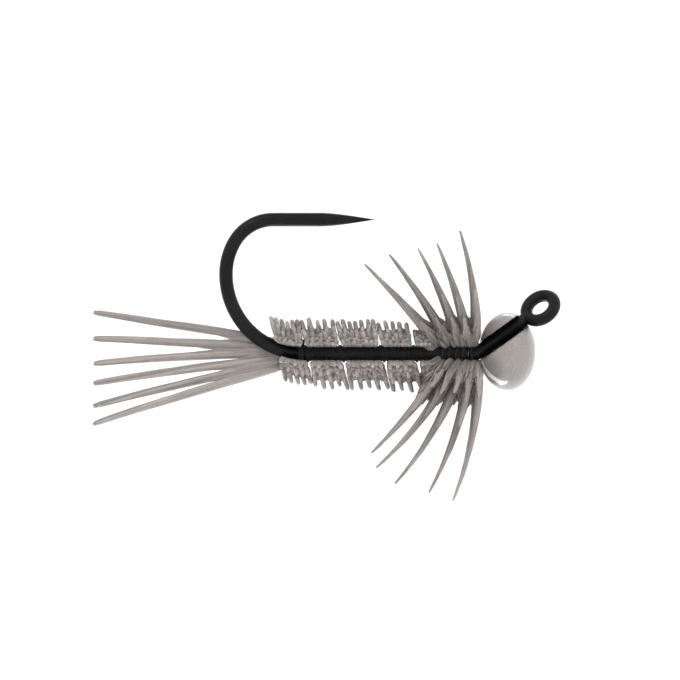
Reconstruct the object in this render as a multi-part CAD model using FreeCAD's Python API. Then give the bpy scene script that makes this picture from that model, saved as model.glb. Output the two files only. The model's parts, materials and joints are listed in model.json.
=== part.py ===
"""Weighted jig nymph: a barbless jig hook, a slotted bead, a fibre tail, a four-tuft body and a swept hackle.

Millimetres. The origin is the centre of the hook's eye. +X points forward along the shank, from the bend
to the eye, +Z points to the side that the hook point is on, and Y runs across the fly. Places along the
wire are distances behind the corner where the shank turns up into the eye leg.
"""
import FreeCAD
import Part
import math
import os

from FreeCAD import Vector

# --- hook wire -------------------------------------------------------------------------------------
WIRE_D = 0.70
GAPE = 6.87                # shank axis to point axis
JIG_ANGLE = 35.5           # the eye leg's rise above the shank, degrees
JIG_RADIUS = 0.60
LEG_TAPER = 0.75           # last of the eye leg, where the wire thins to the ring's
LEG_INTO_RING = 0.02
SHANK_LENGTH = 8.80        # jig corner to the start of the bend
BEND_TOP_RADIUS = 2.30
BEND_TOP_TURN = 61.0
BEND_BACK_RADIUS = 3.30
BEND_BACK_TURN = 27.0
POINT_LEG = 2.45           # straight wire between the bend and the taper
POINT_TAPER = 2.77
POINT_TIP_R = 0.02
POINT_BELLY_AT = 0.45      # share of the taper at which the belly is stated
POINT_BELLY = 0.60         # the taper's radius there, as a share of the wire's
EYE_RING_R = 0.785         # centre line of the ring
EYE_WIRE_R = 0.31
EYE_HOLE_R = 0.50
EYE_TWIST = 46.0           # the ring's turn about the leg, from facing sideways

# --- bead ------------------------------------------------------------------------------------------
BEAD_D = 4.00
BEAD_LENGTH = 2.90
BEAD_CLEARANCE = 0.05      # slot to wire, all round
RING_CHORD = 0.424         # half width of the ring where it meets the bead across the slot
BEAD_TO_CORNER = 0.104     # bead's rear to the jig corner, along X
BEAD_LIFT = 0.11           # bead axis above the shank axis
BEAD_HOLE_R = 0.42
BEAD_MOUTH_R = 0.62        # countersink at the rear face
BEAD_MOUTH_DEPTH = 0.30

# --- thread and wraps ------------------------------------------------------------------------------
FIT = 0.01                 # gap between a wrap and what it is wound on
THREAD_BASE_T = 0.03
THREAD_BASE_TO_BEND = 0.01
BINDING_R = 0.035
BINDING_TURNS = 2          # in each gap between tufts
HEAD_WRAP_T = 0.09
HEAD_WRAP_FRONT = 0.20
HEAD_WRAP_REAR = 0.38
CEMENT_R = 0.045
TAIL_WRAP_T = 0.06
TAIL_WRAP_ROOM = 0.33      # the band's bore past the wire's radius: it holds the wire and the six butts
TAIL_WRAP_ASIDE = 0.20     # the band's centre from the wire's, towards the fibres
TAIL_WRAP_PAST_BEND = 0.03
TAIL_WRAP_LENGTH = 0.37

# --- body tufts ------------------------------------------------------------------------------------
GAP_PLACES = [0.1144, 0.3777, 0.7038]    # the first gaps' shares of the way from the hackle to the bend
LAST_GAP_TO_BEND = 0.0702                # the last gap lies just in front of the tail's band
GAP_WIDTH = 0.30
BODY_PAST_BEND = 1.35
TUFT_TILT = 13.0                      # tops lean back, degrees
TUFT_ROOT = 0.06                      # tuft's foot above the wound thread
UPPER_TUFT_R = [1.52, 1.52, 1.50, 1.45]    # from the wire's axis, front tuft first
LOWER_TUFT_R = [1.70, 1.66, 1.60, 1.40]
THORAX_FRONT = 2.42                   # behind the jig corner
THORAX_REAR_R = {1: 1.20, -1: 1.50}   # by side, +1 over the shank and -1 under it
THORAX_FRONT_R = {1: 0.70, -1: 1.00}

# --- hackle ----------------------------------------------------------------------------------------
STEM_R = 0.06
STEM_FRONT = 0.46
STEM_REAR = 2.20
STEM_TURNS = 5
HUB_R = 0.08
HUB_HALF = 0.30
HUB_CLEARANCE = 0.02
BLADE_ROOT_T = 0.18        # thickness of one wound turn of barbs, at the stem, half way out and at the tips
BLADE_MID_T = 0.22
BLADE_TIP_T = 0.10
BLADE_START = 0.032        # the barbs start inside the hub
BLADE_WEB = 1.30           # radius of the downy web at the barbs' roots
BARBS = 9
BARB_SPREAD = 72.0         # outermost barb from the middle one, degrees
BARB_TIP_HALF = 0.05
SIDE_BARB_LENGTH = 0.80    # the outermost barb's length as a share of the middle one's
# distance behind the jig corner, rise from the shank in degrees, length, forward bow; rearmost first
UPPER_HACKLE = [
    (2.03, 46.7, 5.42, 0.05),
    (1.46, 55.8, 5.38, 0.10),
    (0.92, 66.4, 5.20, 0.12),
    (0.46, 72.7, 5.26, 0.15),
    (0.05, 82.0, 5.75, 0.25),
]
LOWER_HACKLE = [
    (1.62, 49.8, 5.84, 0.15),
    (1.16, 52.6, 6.58, 0.33),
    (0.72, 60.2, 6.97, 0.35),
    (0.31, 71.9, 6.85, 0.32),
    (-0.08, 79.5, 7.04, 0.35),
]

# --- tail ------------------------------------------------------------------------------------------
TAIL_ROOT_GAP = 0.13       # from the last tuft to where the fibres come free
TAIL_FIBRE_ROOT_R = 0.07
TAIL_FIBRE_R = 0.21
TAIL_FIBRE_TIP_R = 0.12
TAIL_TIP_ROUND = 0.07
TAIL_FULL_AT = 0.25        # share of the length where a fibre is thickest
BUTT_LENGTH = 1.20
BUTT_GAP = 0.07
# Root's distance from the wire's side and its angle round the shank axis from +Y, length, rise and drift
# across; angles in degrees, top fibre first.
TAIL_FIBRES = [
    (0.508, 49.3, 9.52, 8.8, 2.0),
    (0.290, 29.0, 9.42, 2.8, -1.0),
    (0.210, -2.0, 9.42, -3.0, 1.5),
    (0.172, -32.5, 9.48, -7.6, -1.5),
    (0.303, -62.7, 9.64, -12.8, -1.5),
    (0.476, -97.0, 9.82, -16.7, -4.0),
]

CUT_BOX = 16.0             # side of the boxes that trim the dubbing; wider than the body is
HALVINGS = 50              # steps that close in on the bead's place

WIRE_R = WIRE_D / 2
JIG = math.radians(JIG_ANGLE)


def bead_to_eye():
    """How far the bead's front lies behind the eye's centre along X, so that the ring sits in its slot.

    Found by halving: the bead is too far back while the ring's seat on the leg is outside its ellipse."""
    seat = EYE_RING_R + EYE_WIRE_R - RING_CHORD ** 2 / BEAD_D    # the bead's curve over that width
    near, far = 0.0, BEAD_D
    for _ in range(HALVINGS):
        middle = (near + far) / 2
        corner_drop = (middle + BEAD_LENGTH + BEAD_TO_CORNER) * math.tan(JIG)
        x = (middle + BEAD_LENGTH / 2 - seat * math.cos(JIG)) / (BEAD_LENGTH / 2)
        z = (corner_drop - BEAD_LIFT - seat * math.sin(JIG)) / (BEAD_D / 2)
        if x * x + z * z > 1:
            far = middle
        else:
            near = middle
    return middle


BEAD_TO_EYE = bead_to_eye()
# The leg is long enough for the bead: from the eye, over the bead, to the corner behind it.
LEG_LENGTH = (BEAD_TO_EYE + BEAD_LENGTH + BEAD_TO_CORNER) / math.cos(JIG)
BEAD_BEHIND_EYE = BEAD_TO_EYE + BEAD_LENGTH / 2
CORNER_X = -LEG_LENGTH * math.cos(JIG)
SHANK_Z = -LEG_LENGTH * math.sin(JIG)
POINT_Z = SHANK_Z + GAPE
TURN_1 = math.radians(BEND_TOP_TURN)
TURN_12 = math.radians(BEND_TOP_TURN + BEND_BACK_TURN)
# The rear radius closes the gape: what the two upper arcs leave is dropped by the lower one.
BEND_LOW_RADIUS = (
    GAPE
    - BEND_TOP_RADIUS * (1 - math.cos(TURN_1))
    - BEND_BACK_RADIUS * (math.cos(TURN_1) - math.cos(TURN_12))
) / (1 + math.cos(TURN_12))
WOUND_R = WIRE_R + FIT + THREAD_BASE_T
THREAD_BASE_FRONT = HEAD_WRAP_REAR + 2 * (FIT + CEMENT_R)
STEM_AXIS_R = WOUND_R + FIT + STEM_R
HUB_Z = STEM_AXIS_R + STEM_R + HUB_CLEARANCE + HUB_R
GAPS = [THORAX_FRONT + place * (SHANK_LENGTH - THORAX_FRONT) for place in GAP_PLACES]
GAPS.append(SHANK_LENGTH - LAST_GAP_TO_BEND)
BODY_END = SHANK_LENGTH + BODY_PAST_BEND
TAIL_WRAP_BORE_R = WIRE_R + TAIL_WRAP_ROOM
TAIL_ROOT = BODY_END + TAIL_ROOT_GAP
Y_AXIS = Vector(0, 1, 0)


def behind(s):
    """X of a place on the straight shank, s behind the jig corner."""
    return CORNER_X - s


def wire_frame(s):
    """(x, z, lift) of the wire's axis s behind the jig corner; lift is its slope in degrees past the bend."""
    if s <= SHANK_LENGTH:
        return behind(s), SHANK_Z, 0.0
    turn = (s - SHANK_LENGTH) / BEND_LOW_RADIUS
    x = behind(SHANK_LENGTH) - BEND_LOW_RADIUS * math.sin(turn)
    return x, SHANK_Z + BEND_LOW_RADIUS * (1 - math.cos(turn)), math.degrees(turn)


def rod(start, end, r_start, r_end=None):
    """A round bar from start to end, tapered if r_end differs."""
    r_end = r_start if r_end is None else r_end
    way = end - start
    if abs(r_start - r_end) < 1e-9:
        return Part.makeCylinder(r_start, way.Length, start, way)
    return Part.makeCone(r_start, r_end, way.Length, start, way)


def bent_rod(start, heading, radius, turn, wire_r):
    """A round bar bent in the XZ plane from start. heading is (x, z); turn is in degrees, from +X to +Z.

    Returns the solid, its end point and its new heading."""
    side = 1 if turn > 0 else -1
    centre = Vector(start.x - side * heading[1] * radius, 0, start.z + side * heading[0] * radius)
    circle = Part.makeCircle(wire_r, start, Vector(heading[0], 0, heading[1]))
    face = Part.Face(Part.Wire(circle))
    solid = face.revolve(centre, Vector(0, -side, 0), abs(turn))
    angle = math.radians(turn)
    arm = start - centre
    end = centre + Vector(
        arm.x * math.cos(angle) - arm.z * math.sin(angle),
        0,
        arm.x * math.sin(angle) + arm.z * math.cos(angle),
    )
    new = (
        heading[0] * math.cos(angle) - heading[1] * math.sin(angle),
        heading[0] * math.sin(angle) + heading[1] * math.cos(angle),
    )
    return solid, end, new


def joined(solids):
    """One solid from touching pieces."""
    whole = solids[0].multiFuse(solids[1:]).removeSplitter()
    if len(whole.Solids) != 1:
        raise RuntimeError("pieces did not join into one solid")
    return whole.Solids[0]


def needle_point(start):
    """The barbless point: a slightly bellied taper, turned about the point leg."""
    tip = Vector(start.x + POINT_TAPER, 0, start.z)
    belly = Vector(start.x + POINT_BELLY_AT * POINT_TAPER, 0, start.z + POINT_BELLY * WIRE_R)
    edge = Vector(start.x, 0, start.z + WIRE_R)
    blunt = Vector(tip.x, 0, tip.z + POINT_TIP_R)
    outline = Part.Wire([
        Part.LineSegment(start, edge).toShape(),
        Part.Arc(edge, belly, blunt).toShape(),
        Part.LineSegment(blunt, tip).toShape(),
        Part.LineSegment(tip, start).toShape(),
    ])
    return Part.Solid(Part.Face(outline).revolve(start, Vector(1, 0, 0), 360))


def eye_normal():
    """Direction of the eye's hole: sideways, turned about the leg by EYE_TWIST."""
    twist = math.radians(EYE_TWIST)
    across_leg = Vector(-math.sin(JIG), 0, math.cos(JIG))
    return Y_AXIS * -math.cos(twist) + across_leg * math.sin(twist)


def low_bend(wire_r):
    """The bend's first arc, from the rear of the shank: its solid, its end point and its new heading."""
    turn = 180.0 - BEND_TOP_TURN - BEND_BACK_TURN
    start = Vector(behind(SHANK_LENGTH), 0, SHANK_Z)
    return bent_rod(start, (-1.0, 0.0), BEND_LOW_RADIUS, -turn, wire_r)


def make_hook():
    """The wire, from the needle point round the bend, along the shank and up the jig leg to the ring eye."""
    tangent = JIG_RADIUS * math.tan(JIG / 2)
    corner = Vector(CORNER_X, 0, SHANK_Z)
    leg_way = Vector(math.cos(JIG), 0, math.sin(JIG))
    # The bend is built from the shank backwards: low arc, back arc, top arc, each turning up and forward.
    low, at, heading = low_bend(WIRE_R)
    back, at, heading = bent_rod(at, heading, BEND_BACK_RADIUS, -BEND_BACK_TURN, WIRE_R)
    top, at, heading = bent_rod(at, heading, BEND_TOP_RADIUS, -BEND_TOP_TURN, WIRE_R)
    leg_end = at + Vector(POINT_LEG, 0, 0)
    shank_front = corner - Vector(tangent, 0, 0)
    jig, jig_end, _ = bent_rod(shank_front, (1.0, 0.0), JIG_RADIUS, JIG_ANGLE, WIRE_R)
    taper_start = leg_way * -(EYE_RING_R + LEG_TAPER)
    taper_end = leg_way * -(EYE_RING_R + LEG_INTO_RING)
    whole = joined([
        rod(at, leg_end, WIRE_R),
        needle_point(leg_end),
        top,
        back,
        low,
        rod(Vector(behind(SHANK_LENGTH), 0, SHANK_Z), shank_front, WIRE_R),
        jig,
        rod(jig_end, taper_start, WIRE_R),
        rod(taper_start, taper_end, WIRE_R, EYE_WIRE_R - LEG_INTO_RING),
        Part.makeTorus(EYE_RING_R, EYE_WIRE_R, Vector(0, 0, 0), eye_normal()),
    ])
    reach = 2 * EYE_WIRE_R
    hole = Part.makeCylinder(EYE_HOLE_R, 2 * reach, eye_normal() * -reach, eye_normal())
    return whole.cut(hole)


def bead_blank():
    """The bead before its slot is milled: an ellipse turned about the bead's axis, and drilled along it."""
    half = BEAD_LENGTH / 2
    # The ellipse meets the drill at the front and the countersink at the rear.
    front = half * math.sqrt(1 - (2 * BEAD_HOLE_R / BEAD_D) ** 2)
    rear = half * math.sqrt(1 - (2 * BEAD_MOUTH_R / BEAD_D) ** 2)
    ellipse = Part.Ellipse(Vector(0, 0, BEAD_D / 2), Vector(half, 0, 0), Vector(0, 0, 0))
    front_edge = Vector(front, 0, BEAD_HOLE_R)
    rear_edge = Vector(-rear, 0, BEAD_MOUTH_R)
    mouth_floor = Vector(-rear + BEAD_MOUTH_DEPTH, 0, BEAD_HOLE_R)
    # The ellipse's parameter is 0 at its top, so the arc over the top starts a turn before the rear edge's.
    over_top = Part.ArcOfEllipse(
        ellipse, ellipse.parameter(rear_edge) - 2 * math.pi, ellipse.parameter(front_edge)
    )
    outline = Part.Wire([
        over_top.toShape(),
        Part.LineSegment(front_edge, mouth_floor).toShape(),
        Part.LineSegment(mouth_floor, rear_edge).toShape(),
    ])
    blank = Part.Solid(Part.Face(outline).revolve(Vector(0, 0, 0), Vector(1, 0, 0), 360))
    blank.translate(Vector(-BEAD_BEHIND_EYE, 0, SHANK_Z + BEAD_LIFT))
    return blank


def make_bead():
    """An oblate bead, drilled along its axis and slotted from one side along the jig leg."""
    leg_way = Vector(math.cos(JIG), 0, math.sin(JIG))
    slot_r = WIRE_R + BEAD_CLEARANCE
    reach = LEG_LENGTH + BEAD_D
    channel = Part.makeCylinder(slot_r, reach, leg_way * -reach, leg_way)
    mill = Part.makeBox(reach, BEAD_D, 2 * slot_r, Vector(-reach, -BEAD_D, -slot_r))
    mill.rotate(Vector(0, 0, 0), Y_AXIS, -JIG_ANGLE)
    return bead_blank().cut([channel, mill])


def sleeve(x_rear, x_front, inner, outer):
    """A tube round the straight shank."""
    start = Vector(x_rear, 0, SHANK_Z)
    end = Vector(x_front, 0, SHANK_Z)
    return rod(start, end, outer).cut(rod(start, end, inner))


def ring_on_shank(s, ring_r, wire_r, lean=0.0):
    """A closed turn round the shank, s behind the jig corner; its top leans back by lean radians."""
    axis = Vector(math.cos(lean), 0, math.sin(lean))
    return Part.makeTorus(ring_r, wire_r, Vector(behind(s), 0, SHANK_Z), axis)


def make_thread_base():
    """Touching turns of thread from behind the head to the tail, drawn as one thin sleeve."""
    rear = behind(SHANK_LENGTH - THREAD_BASE_TO_BEND)
    return sleeve(rear, behind(THREAD_BASE_FRONT), WIRE_R + FIT, WOUND_R)


def make_binding_turns():
    """Thread turns that hold the dubbing down in each gap between tufts; each turn is a closed ring."""
    pitch = 2 * BINDING_R + FIT
    lean = math.radians(TUFT_TILT)
    ring_r = (WOUND_R + FIT + BINDING_R) / math.cos(lean)
    turns = []
    for gap in GAPS:
        for n in range(BINDING_TURNS):
            place = gap + (n - (BINDING_TURNS - 1) / 2) * pitch
            turns.append(ring_on_shank(place, ring_r, BINDING_R, lean))
    return Part.makeCompound(turns)


def make_head_wraps():
    """The whip finish: a short band of thread behind the jig corner."""
    return sleeve(behind(HEAD_WRAP_REAR), behind(HEAD_WRAP_FRONT), WIRE_R + FIT, WIRE_R + FIT + HEAD_WRAP_T)


def make_head_cement():
    """A ring of varnish where the whip finish meets the hackle stem."""
    return ring_on_shank(HEAD_WRAP_REAR + CEMENT_R + FIT, WIRE_R + FIT + CEMENT_R, CEMENT_R)


def make_hackle_stem():
    """The feather's stem wound round the shank; it carries the barbs."""
    pitch = (STEM_REAR - STEM_FRONT) / STEM_TURNS
    turns = [
        ring_on_shank(STEM_FRONT + (n + 0.5) * pitch, STEM_AXIS_R, STEM_R) for n in range(STEM_TURNS)
    ]
    return Part.makeCompound(turns)


def tilted_slab(x_rear, x_front):
    """The space between two planes that cross the shank at x_rear and x_front and lean back."""
    width = (x_front - x_rear) * math.cos(math.radians(TUFT_TILT))
    slab = Part.makeBox(width, CUT_BOX, CUT_BOX, Vector(-width / 2, -CUT_BOX / 2, -CUT_BOX / 2))
    slab.rotate(Vector(0, 0, 0), Y_AXIS, -TUFT_TILT)
    slab.translate(Vector((x_rear + x_front) / 2, 0, SHANK_Z))
    return slab


def part_drum(s_front, s_rear, radius, side):
    """Dubbing over (side +1) or under (side -1) the wire: a drum less its middle, along the wire's slope."""
    x, z, lift = wire_frame((s_front + s_rear) / 2)
    foot = WOUND_R + TUFT_ROOT
    long = 2 * (s_rear - s_front) + 2 * radius
    drum = Part.makeCylinder(radius, long, Vector(-long / 2, 0, 0), Vector(1, 0, 0))
    low = foot if side > 0 else -foot - radius
    part = drum.common(Part.makeBox(long, 2 * radius, radius, Vector(-long / 2, -radius, low)))
    part.rotate(Vector(0, 0, 0), Y_AXIS, lift)
    part.translate(Vector(x, 0, z))
    return part


def make_tuft(s_front, s_rear, radius, side):
    """A tuft between two gaps, its ends leaning with them."""
    return part_drum(s_front, s_rear, radius, side).common(tilted_slab(behind(s_rear), behind(s_front)))


def make_last_tuft(s_front, s_rear, radius, side):
    """The rearmost tuft: square behind, clear of the bend, and wound over the tail's band and butts."""
    leaning = tilted_slab(behind(s_rear + radius), behind(s_front))
    square = Part.makeBox(
        CUT_BOX, CUT_BOX, CUT_BOX, Vector(behind(s_rear), -CUT_BOX / 2, SHANK_Z - CUT_BOX / 2)
    )
    whole = part_drum(s_front, s_rear, radius, side).common(leaning).common(square)
    return whole.cut([low_bend(WIRE_R + FIT)[0], tail_band(0, FIT)] + butt_rods(TAIL_FIBRE_ROOT_R + FIT))


def tuft_spans():
    """(front, rear) of each tuft behind the jig corner, front tuft first."""
    half = GAP_WIDTH / 2
    fronts = [gap + half for gap in GAPS]
    rears = [gap - half for gap in GAPS[1:]] + [BODY_END]
    return list(zip(fronts, rears))


def make_thorax(side):
    """A low cone of dubbing behind the hackle, over or under the shank, clear of the rearmost barbs."""
    foot = WOUND_R + TUFT_ROOT
    rear = behind(GAPS[0] - GAP_WIDTH / 2)
    front = behind(THORAX_FRONT)
    slope = (THORAX_REAR_R[side] - THORAX_FRONT_R[side]) / (front - rear)
    # The cone starts behind the tilted cut and keeps its slope, so its radius at the cut is the stated one.
    back = THORAX_REAR_R[side]
    start = Vector(rear - back, 0, SHANK_Z)
    cone = rod(start, Vector(front, 0, SHANK_Z), THORAX_REAR_R[side] + slope * back, THORAX_FRONT_R[side])
    low = foot if side > 0 else -foot - CUT_BOX
    keep = Part.makeBox(
        CUT_BOX, CUT_BOX, CUT_BOX, Vector(rear - CUT_BOX / 2, -CUT_BOX / 2, SHANK_Z + low)
    )
    return cone.common(keep).common(tilted_slab(rear, rear + CUT_BOX))


def fan_outline(length):
    """The fan seen flat, in X (outwards) and Y: barbs as narrow points with webbed valleys between them."""
    step = 2 * BARB_SPREAD / (BARBS - 1)
    points = [Vector(0, HUB_HALF, 0), Vector(0, -HUB_HALF, 0)]
    for n in range(BARBS):
        angle = math.radians(-BARB_SPREAD + n * step)
        valley = angle - math.radians(step / 2)
        share = abs(math.sin(angle)) / math.sin(math.radians(BARB_SPREAD))
        reach = length * (1 - (1 - SIDE_BARB_LENGTH) * share)
        out = Vector(math.cos(angle), math.sin(angle), 0)
        across = Vector(-math.sin(angle), math.cos(angle), 0)
        points.append(Vector(math.cos(valley), math.sin(valley), 0) * BLADE_WEB)
        points.append(out * reach - across * BARB_TIP_HALF)
        points.append(out * reach + across * BARB_TIP_HALF)
    last = math.radians(BARB_SPREAD + step / 2)
    points.append(Vector(math.cos(last), math.sin(last), 0) * BLADE_WEB)
    return Part.Face(Part.makePolygon(points + points[:1]))


def bowed_sheet(length, bow):
    """A sheet across Y whose section bows by bow towards Z half way out and thins to its far edge."""
    middle = (BLADE_START + length) / 2
    corners = [
        Vector(BLADE_START, 0, -BLADE_ROOT_T / 2),
        Vector(length, 0, -BLADE_TIP_T / 2),
        Vector(length, 0, BLADE_TIP_T / 2),
        Vector(BLADE_START, 0, BLADE_ROOT_T / 2),
    ]
    section = Part.Wire([
        Part.Arc(corners[0], Vector(middle, 0, bow - BLADE_MID_T / 2), corners[1]).toShape(),
        Part.LineSegment(corners[1], corners[2]).toShape(),
        Part.Arc(corners[2], Vector(middle, 0, bow + BLADE_MID_T / 2), corners[3]).toShape(),
        Part.LineSegment(corners[3], corners[0]).toShape(),
    ])
    sheet = Part.Face(section).extrude(Vector(0, 2 * length, 0))
    sheet.translate(Vector(0, -length, 0))
    return sheet


def make_blade(place, rise, length, bow, side):
    """One wound turn of hackle: a hub across the wire and a bowed fan of barbs with a web at their roots.

    The fan is drawn outwards along X and across Y, then turned to its lean."""
    outline = fan_outline(length)
    outline.translate(Vector(0, 0, -length))
    fan = outline.extrude(Vector(0, 0, 2 * length)).common(bowed_sheet(length, -side * bow))
    hub = Part.makeCylinder(HUB_R, 2 * HUB_HALF, Vector(0, -HUB_HALF, 0), Y_AXIS)
    blade = joined([hub, fan])
    blade.rotate(Vector(0, 0, 0), Y_AXIS, -180 + side * rise)
    blade.translate(Vector(behind(place), 0, SHANK_Z + side * HUB_Z))
    return blade


def spindle(start, way, length):
    """A tail fibre's clump of barbs: thin at the thread, full a quarter of the way out, blunt at the tip."""
    outline = Part.makePolygon([
        Vector(0, 0, 0),
        Vector(TAIL_FIBRE_ROOT_R, 0, 0),
        Vector(TAIL_FIBRE_R, 0, TAIL_FULL_AT * length),
        Vector(TAIL_FIBRE_TIP_R, 0, length - TAIL_TIP_ROUND),
        Vector(0, 0, length),
        Vector(0, 0, 0),
    ])
    solid = Part.Solid(Part.Face(outline).revolve(Vector(0, 0, 0), Vector(0, 0, 1), 360))
    solid.Placement = FreeCAD.Placement(start, FreeCAD.Rotation(Vector(0, 0, 1), way))
    return solid


def tail_way(rise, drift):
    """Direction of a tail fibre, from its root to its tip."""
    up = math.radians(rise)
    out = math.radians(drift)
    return Vector(-math.cos(up) * math.cos(out), math.sin(out), math.sin(up) * math.cos(out))


def tail_start(fibre):
    """A fibre's root, beside or under the wire."""
    out = WIRE_R + fibre[0]
    angle = math.radians(fibre[1])
    return Vector(behind(TAIL_ROOT), out * math.cos(angle), SHANK_Z + out * math.sin(angle))


def butt_rods(radius):
    """The fibres' bound ends, in line with each fibre and running forward under the last tuft."""
    rods = []
    for fibre in TAIL_FIBRES:
        way = tail_way(fibre[3], fibre[4])
        end = tail_start(fibre) - way * BUTT_GAP
        rods.append(rod(end, end - way * BUTT_LENGTH, radius))
    return rods


def tail_band(bore_r, grow=0.0):
    """A short tube around the wire and the butts, larger all round by grow; a bore of 0 leaves it solid."""
    front = SHANK_LENGTH + TAIL_WRAP_PAST_BEND
    start = Vector(behind(front + TAIL_WRAP_LENGTH) - grow, TAIL_WRAP_ASIDE, SHANK_Z)
    end = Vector(behind(front) + grow, TAIL_WRAP_ASIDE, SHANK_Z)
    band = rod(start, end, TAIL_WRAP_BORE_R + TAIL_WRAP_T + grow)
    return band.cut(rod(start, end, bore_r)) if bore_r else band


def save(name, shape):
    if not shape.isValid():
        raise RuntimeError(name + " is not a valid shape")
    shape.exportStep(os.path.join("parts", name + ".step"))
    print(name, "solids", len(shape.Solids), "volume", round(shape.Volume, 4))


def main():
    os.makedirs("parts", exist_ok=True)
    save("hook", make_hook())
    save("bead", make_bead())
    save("thread_base", make_thread_base())
    save("binding_turns", make_binding_turns())
    save("head_wraps", make_head_wraps())
    save("head_cement", make_head_cement())
    save("hackle_stem", make_hackle_stem())
    for n, (front, rear) in enumerate(tuft_spans()):
        make = make_last_tuft if n == len(GAPS) - 1 else make_tuft
        save("dubbing_upper_%d" % (n + 1), make(front, rear, UPPER_TUFT_R[n], 1))
        save("dubbing_lower_%d" % (n + 1), make(front, rear, LOWER_TUFT_R[n], -1))
    save("thorax_upper", make_thorax(1))
    save("thorax_lower", make_thorax(-1))
    for n, turn in enumerate(UPPER_HACKLE):
        save("hackle_upper_%d" % (n + 1), make_blade(*turn, 1))
    for n, turn in enumerate(LOWER_HACKLE):
        save("hackle_lower_%d" % (n + 1), make_blade(*turn, -1))
    save("tail_butts", Part.makeCompound(butt_rods(TAIL_FIBRE_ROOT_R)))
    save("tail_wraps", tail_band(TAIL_WRAP_BORE_R))
    for n, fibre in enumerate(TAIL_FIBRES):
        save("tail_fibre_%d" % (n + 1), spindle(tail_start(fibre), tail_way(fibre[3], fibre[4]), fibre[2]))


main()
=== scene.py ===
import json
import math
import random

import bmesh
import bpy
import numpy as np
from mathutils import Matrix, Vector


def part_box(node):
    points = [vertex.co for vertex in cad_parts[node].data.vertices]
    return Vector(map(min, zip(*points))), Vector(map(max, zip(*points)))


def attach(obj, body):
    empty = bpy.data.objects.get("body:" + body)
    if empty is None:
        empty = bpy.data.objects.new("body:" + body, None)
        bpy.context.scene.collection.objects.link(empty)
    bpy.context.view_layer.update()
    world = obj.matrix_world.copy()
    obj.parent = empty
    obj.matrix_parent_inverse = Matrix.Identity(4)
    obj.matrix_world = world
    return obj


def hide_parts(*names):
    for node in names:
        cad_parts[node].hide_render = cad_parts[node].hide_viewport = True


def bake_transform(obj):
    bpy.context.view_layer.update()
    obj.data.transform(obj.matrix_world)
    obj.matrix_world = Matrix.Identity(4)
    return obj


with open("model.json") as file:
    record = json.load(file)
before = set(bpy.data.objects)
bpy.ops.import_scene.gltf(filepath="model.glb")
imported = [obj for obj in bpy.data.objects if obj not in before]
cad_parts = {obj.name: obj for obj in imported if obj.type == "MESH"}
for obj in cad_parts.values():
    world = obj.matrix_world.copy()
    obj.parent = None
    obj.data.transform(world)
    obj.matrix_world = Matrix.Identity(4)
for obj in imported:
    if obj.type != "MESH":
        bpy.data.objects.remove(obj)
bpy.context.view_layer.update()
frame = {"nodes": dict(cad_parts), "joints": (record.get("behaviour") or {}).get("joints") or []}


# --- Hook ------------------------------------------------------------------------------------------
# One length of hardened steel wire, needle ground at the point, bent round, turned up at the jig corner
# and closed into a ring eye. It is blued black and lightly lacquered, so it shines only along its edges.
mm = 0.001
wire_r = 0.35 * mm
jig_angle = math.radians(35.5)
corner_r = 0.60 * mm
bend_top_r, bend_top_turn = 2.30 * mm, math.radians(61)
bend_back_r, bend_back_turn = 3.30 * mm, math.radians(27)
point_length = 2.77 * mm
eye_ring_r = 0.785 * mm
eye_wire_r = 0.31 * mm
eye_twist = math.radians(46)

hook_low, hook_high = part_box("hook")
shank_z = hook_low.z + wire_r
gape = hook_high.z - hook_low.z - 2 * wire_r
corner = Vector((shank_z / math.tan(jig_angle), 0, shank_z))
leg_way = Vector((math.cos(jig_angle), 0, math.sin(jig_angle)))
leg_side = Vector((-math.sin(jig_angle), 0, math.cos(jig_angle)))
eye_way = -math.cos(eye_twist) * Vector((0, 1, 0)) + math.sin(eye_twist) * leg_side
two_turns = bend_top_turn + bend_back_turn
bend_low_r = (
    gape
    - bend_top_r * (1 - math.cos(bend_top_turn))
    - bend_back_r * (math.cos(bend_top_turn) - math.cos(two_turns))
) / (1 + math.cos(two_turns))
bend_start_x = hook_low.x + wire_r + bend_low_r


class Pen:
    """Draws the wire's centre line in the XZ plane, a straight or an arc at a time."""

    def __init__(self, start, heading):
        self.path = [Vector(start)]
        self.heading = heading

    def way(self):
        return Vector((math.cos(self.heading), 0, math.sin(self.heading)))

    def straight(self, length, steps=1):
        here = self.path[-1]
        self.path += [here + self.way() * length * (n + 1) / steps for n in range(steps)]

    def arc(self, radius, turn, steps=18):
        for _ in range(steps):
            self.heading += turn / steps / 2
            chord = 2 * radius * math.sin(abs(turn) / steps / 2)
            self.path.append(self.path[-1] + self.way() * chord)
            self.heading += turn / steps / 2


def ring_frames(path, closed):
    """Two directions across the path at each of its points, carried along without twist."""
    path = np.array([tuple(p) for p in path])
    if closed:
        along = np.roll(path, -1, axis=0) - np.roll(path, 1, axis=0)
    else:
        along = np.gradient(path, axis=0)
    along /= np.linalg.norm(along, axis=1)[:, None]
    side = np.cross(along[0], (0.3, 1.0, 0.2))
    first = []
    for way in along:
        side = side - way * side.dot(way)
        side /= np.linalg.norm(side)
        first.append(side)
    first = np.array(first)
    return path, first, np.cross(along, first)


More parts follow.
